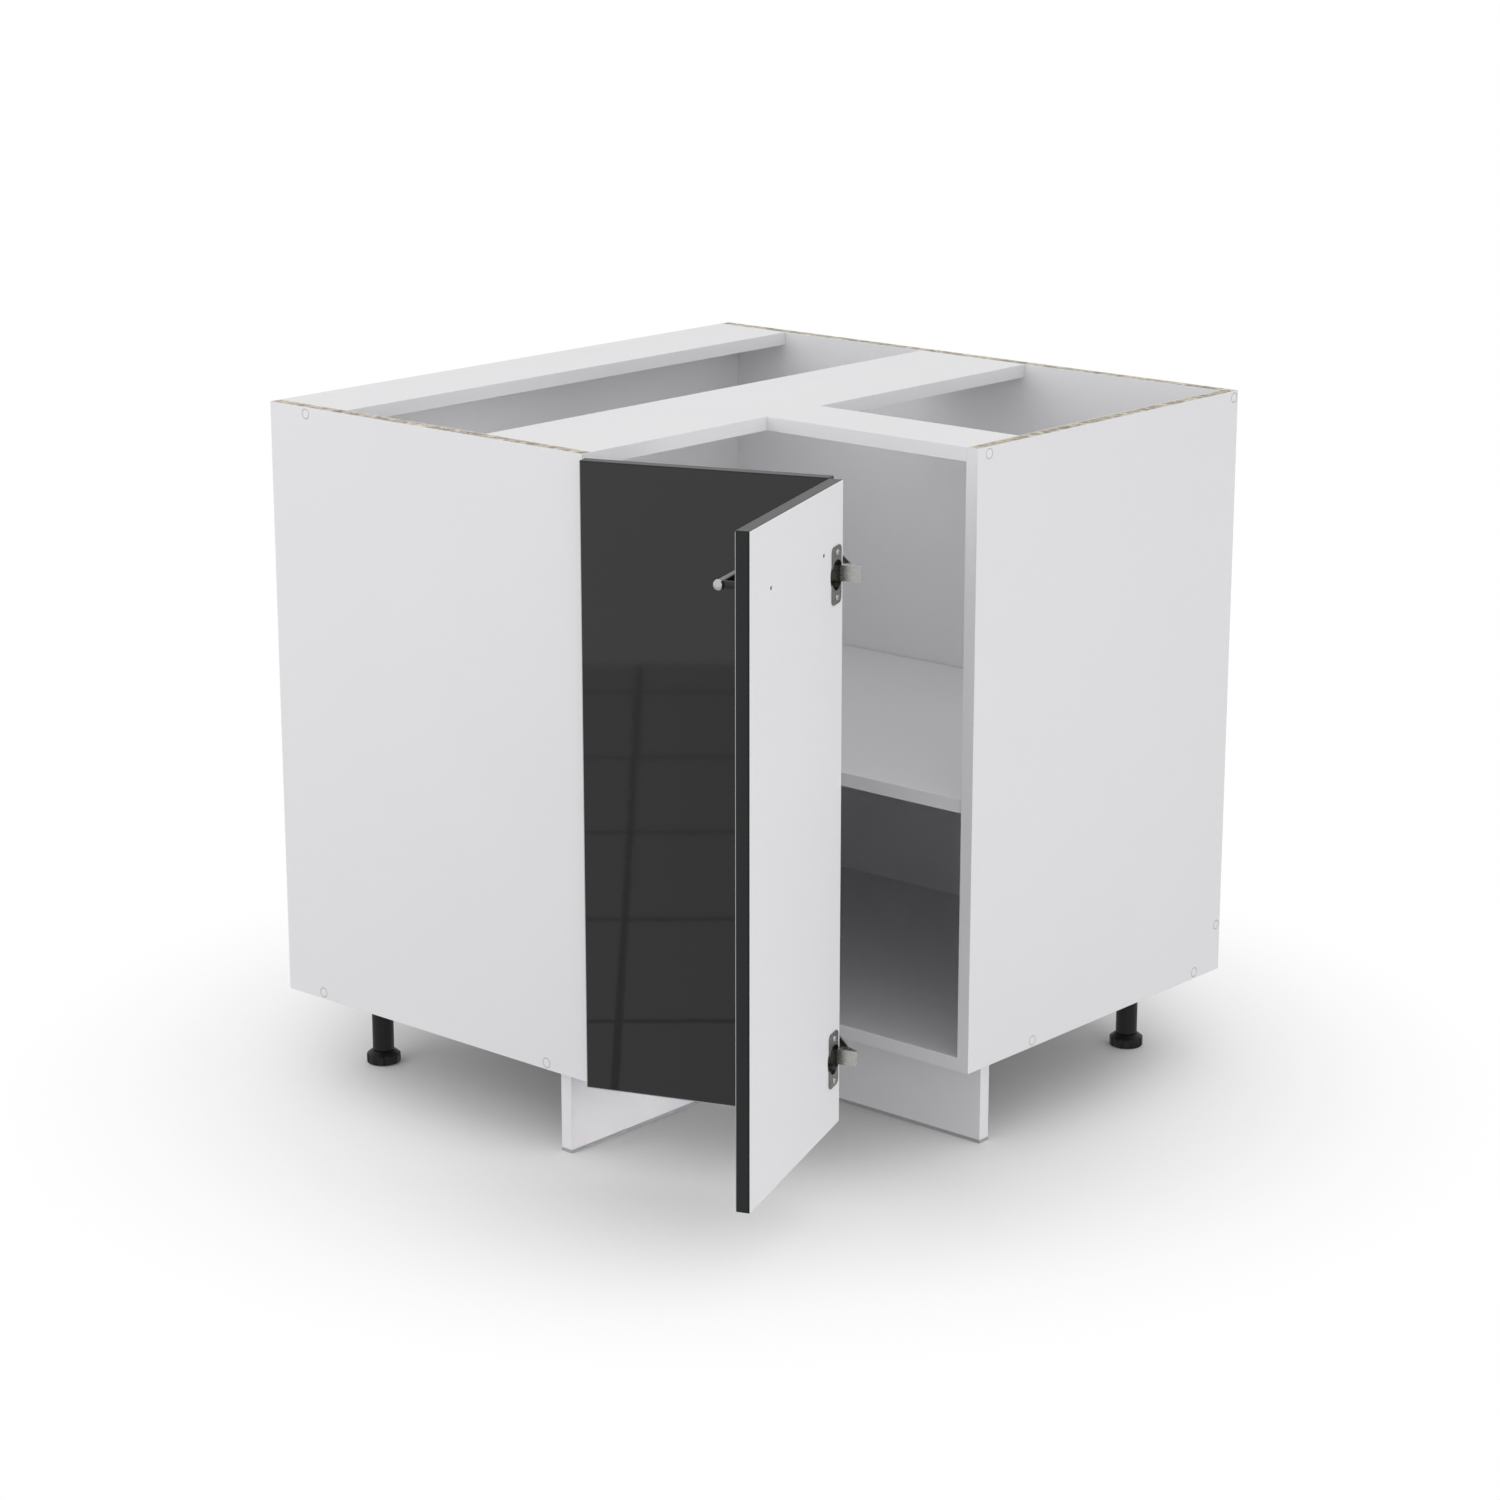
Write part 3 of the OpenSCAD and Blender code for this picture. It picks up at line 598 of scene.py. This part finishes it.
class CABINET_OT_leaves(bpy.types.Operator):
    """Rounds the edging of both door leaves and gives them a gloss front and a white back"""
    bl_idname = "cabinet.leaves"
    bl_label = "Door Leaves"

    def execute(self, context):
        finish = context.scene.cabinet_finish
        made = make_materials(finish)
        outward = {"left": leaf_point(1, 0) - leaf_point(0, 0),
                   "right": right_leaf_point(0, -1) - right_leaf_point(0, 0)}
        for side, out in outward.items():
            node = "door_leaf_" + side
            bm = soften(merged_copy(node), finish.front_edge, 3, 0.012)
            for face in bm.faces:
                face.material_index = int(face.normal.dot(out) > 0.999)
            put_on(node + "_board", bm, node, [made[side + "_front"], made["lacquer"]], 0.5)
        return {"FINISHED"}


class CABINET_OT_hinges(bpy.types.Operator):
    """Finishes the hinge cups, arms, plates, pins and screws"""
    bl_idname = "cabinet.hinges"
    bl_label = "Hinges"

    def execute(self, context):
        made = make_materials(context.scene.cabinet_finish)
        # Painted shade: the fold arms get a dark tone that stands for the shade in their channels
        own_finish = {"fold_hinge_cups": "fold_cup", "fold_hinge_arms": "fold_arm_painted_shade"}
        for node in NODES:
            if node.endswith(("_hinge_cups", "_hinge_arms")):
                put_on(node + "_plated", round_small(merged_copy(node), 0.0003), node,
                       [made[own_finish.get(node, "nickel")]])
            elif "_hinge_" in node:
                finish_piece(NODES[node], made["dark_zinc" if node.endswith("pins") else "nickel"])
            elif node.endswith("_cup_screws"):
                finish_piece(NODES[node], made["screw"])
        return {"FINISHED"}


class CABINET_OT_handle(bpy.types.Operator):
    """Finishes the handle's bar, posts and screws, with a painted dark reflection on the bar and posts and a painted
    highlight on the bar's ends
    """
    bl_idname = "cabinet.handle"
    bl_label = "Bar Handle"

    def execute(self, context):
        made = make_materials(context.scene.cabinet_finish)
        along = right_leaf_point(1, 0) - right_leaf_point(0, 0)
        bm = merged_copy("handle_bar")
        reach = [v.co.dot(along) for v in bm.verts]
        low, high = min(reach) + 1e-5, max(reach) - 1e-5

        def at_an_end(edge):
            places = [v.co.dot(along) for v in edge.verts]
            return max(places) < low or min(places) > high

        # Painted highlight: the rounded end faces take the lighter plating
        for face in round_small(bm, HANDLE_ROUND, 5, at_an_end).faces:
            face.material_index = int(abs(face.normal.dot(along)) > 0.2)
        put_on("handle_bar_end_highlight", bm, "handle_bar", [made["steel"], made["painted_end_highlight"]])
        finish_piece(NODES["handle_posts"], made["post"])
        finish_piece(NODES["handle_screws"], made["dark_screw"])
        return {"FINISHED"}


def joints(tree, value, first, step, width):
    """A mask of evenly spaced joint lines along one axis."""
    turns = scaled(tree, value, 1.0 / step, 0.5 - first / step)
    away = math_node(tree, "ABSOLUTE", math_node(tree, "SUBTRACT", math_node(tree, "FRACT", turns), 0.5))
    return math_node(tree, "LESS_THAN", away, 0.5 * width / step)


def tiled_room(tree, place):
    """What the gloss fronts mirror: a tiled floor and, beyond it, a bright wall."""
    xyz = add(tree, "ShaderNodeSeparateXYZ", {0: place})
    line = math_node(tree, "MAXIMUM", joints(tree, xyz.outputs[0], JOINT_X, TILE_STEP, JOINT_X_WIDTH),
                     joints(tree, xyz.outputs[1], JOINT_Y, TILE_STEP, JOINT_Y_WIDTH))
    tiles = mix_color(tree, line, TILE_COLOR, JOINT_COLOR)
    wall = math_node(tree, "LESS_THAN", xyz.outputs[1], WALL_Y)
    return mix_color(tree, wall, tiles, WHITE)


def past(tree, place, centre, start, end):
    """A mask that rises from 0 to 1 between two distances from a centre."""
    away = add(tree, "ShaderNodeVectorMath", {0: place, 1: centre}, operation="DISTANCE").outputs["Value"]
    return add(tree, "ShaderNodeMapRange", {"Value": away, "From Min": start, "From Max": end},
               interpolation_type="SMOOTHSTEP").outputs[0]


def floor_material(studio):
    """A floor with a painted shadow under the cabinet for the camera, that fades to white round it and shows tiles
    in the gloss fronts.
    """
    material = bpy.data.materials.new("Studio floor")
    material.use_nodes = True
    tree = material.node_tree
    tree.nodes.clear()
    path = add(tree, "ShaderNodeLightPath")
    shown = path.outputs["Is Camera Ray"]
    place = add(tree, "ShaderNodeTexCoord").outputs["Object"]
    # Painted shadow: the camera sees the floor darker near the cabinet, whatever light reaches it
    seen = mix_color(tree, past(tree, place, *PAINTED_SHADOW), rgba(studio.painted_shadow_color), (0.98, 0.98, 0.98, 1.0))
    seen = mix_color(tree, shown, rgba(studio.floor_color), seen)
    shader = add(tree, "ShaderNodeBsdfPrincipled", {"Base Color": seen, "Roughness": 0.9})
    shader.inputs["Specular IOR Level"].default_value = 0.0
    far = math_node(tree, "MULTIPLY", past(tree, place, *FADE), shown)
    white = add(tree, "ShaderNodeEmission", {"Color": WHITE, "Strength": 1.0})
    both = add(tree, "ShaderNodeMixShader", {0: far, 1: shader.outputs[0], 2: white.outputs[0]})
    mirrored = add(tree, "ShaderNodeEmission", {"Color": tiled_room(tree, place), "Strength": 1.0})
    whole = add(tree, "ShaderNodeMixShader", {0: path.outputs["Is Glossy Ray"], 1: both.outputs[0],
                                             2: mirrored.outputs[0]})
    add(tree, "ShaderNodeOutputMaterial", {"Surface": whole.outputs[0]})
    return material


def soft_lamp(name, place, target, size, power):
    """A rectangular lamp that faces a target and isn't mirrored in the fronts."""
    lamp = bpy.data.lights.new(name, "AREA")
    lamp.shape = "RECTANGLE"
    lamp.size, lamp.size_y = size
    lamp.energy = power
    obj = bpy.data.objects.new(name, lamp)
    bpy.context.scene.collection.objects.link(obj)
    obj.location = place
    obj.rotation_euler = (Vector(target) - Vector(place)).to_track_quat("-Z", "Y").to_euler()
    obj.visible_glossy = False
    return obj


class CABINET_OT_stage(bpy.types.Operator):
    """Sets up the pale floor, the soft dome, the lamps and the camera"""
    bl_idname = "cabinet.stage"
    bl_label = "Studio and Camera"

    def execute(self, context):
        scene = context.scene
        studio = scene.cabinet_studio
        bm = bmesh.new()
        bmesh.ops.create_grid(bm, x_segments=2, y_segments=2, size=30.0)
        mesh = bpy.data.meshes.new("studio_floor")
        bm.to_mesh(mesh)
        bm.free()
        floor = bpy.data.objects.new("studio_floor", mesh)
        scene.collection.objects.link(floor)
        mesh.materials.append(floor_material(studio))

        world = scene.world or bpy.data.worlds.new("Studio dome")
        scene.world = world
        world.use_nodes = True
        tree = world.node_tree
        tree.nodes.clear()
        path = add(tree, "ShaderNodeLightPath")
        seen = math_node(tree, "MAXIMUM", path.outputs["Is Camera Ray"], path.outputs["Is Glossy Ray"])
        seen = math_node(tree, "MAXIMUM", seen, path.outputs["Is Transmission Ray"])
        sky = add(tree, "ShaderNodeSeparateXYZ", {0: add(tree, "ShaderNodeTexCoord").outputs["Generated"]})
        height = math_node(tree, "MAXIMUM", sky.outputs[2], 0.0)
        dimmed = scaled(tree, height, -studio.dome_strength * studio.dome_fall, studio.dome_strength)
        strength = mix_value(tree, seen, dimmed, 1.0)
        dome = add(tree, "ShaderNodeBackground", {"Color": WHITE, "Strength": strength})
        add(tree, "ShaderNodeOutputWorld", {"Surface": dome.outputs[0]})

        soft_lamp("key_lamp", (-0.6, -3.4, 1.7), (0.3, -0.4, 0.4), (2.2, 1.8), studio.key_power)
        soft_lamp("fill_lamp", (3.2, -0.62, 0.55), (0.4, -0.62, 0.2), (0.7, 0.8), studio.fill_power)
        low = soft_lamp("plinth_lamp", (2.3, -0.84, 0.055), (0.455, -0.66, 0.03), (0.5, 0.04), studio.plinth_power)
        low.data.spread = math.radians(5)

        camera = bpy.data.cameras.new("photo_camera")
        camera.sensor_width = 36.0
        camera.lens = studio.focal_length
        camera.clip_start, camera.clip_end = 0.1, 100.0
        obj = bpy.data.objects.new("photo_camera", camera)
        scene.collection.objects.link(obj)
        obj.location = CAMERA_PLACE
        obj.rotation_euler = (math.pi / 2 - CAMERA_TILT, 0.0, CAMERA_TURN)
        scene.camera = obj
        scene.view_settings.view_transform = "Standard"
        return {"FINISHED"}


class CABINET_PT_sidebar(bpy.types.Panel):
    """Lists the cabinet's pieces and their settings"""
    bl_idname = "CABINET_PT_sidebar"
    bl_label = "Corner Base Cabinet"
    bl_space_type = "VIEW_3D"
    bl_region_type = "UI"
    bl_category = "Cabinet"

    def draw(self, context):
        layout = self.layout
        for step in STEPS:
            layout.operator(step.bl_idname)
        for settings in (context.scene.cabinet_finish, context.scene.cabinet_studio):
            for name in settings.bl_rna.properties.keys():
                if name not in ("rna_type", "name"):
                    layout.prop(settings, name)


STEPS = (CABINET_OT_carcass, CABINET_OT_fixings, CABINET_OT_legs, CABINET_OT_leaves, CABINET_OT_hinges,
         CABINET_OT_handle, CABINET_OT_stage)
CLASSES = (CabinetFinish, CabinetStudio, *STEPS, CABINET_PT_sidebar)


def register():
    for cls in CLASSES:
        bpy.utils.register_class(cls)
    bpy.types.Scene.cabinet_finish = bpy.props.PointerProperty(type=CabinetFinish)
    bpy.types.Scene.cabinet_studio = bpy.props.PointerProperty(type=CabinetStudio)


def unregister():
    del bpy.types.Scene.cabinet_studio
    del bpy.types.Scene.cabinet_finish
    for cls in reversed(CLASSES):
        bpy.utils.unregister_class(cls)


def main():
    """Makes every piece in order."""
    register()
    bpy.ops.cabinet.carcass()
    bpy.ops.cabinet.fixings()
    bpy.ops.cabinet.legs()
    bpy.ops.cabinet.leaves()
    bpy.ops.cabinet.hinges()
    bpy.ops.cabinet.handle()
    bpy.ops.cabinet.stage()


if __name__ == "__main__":
    main()
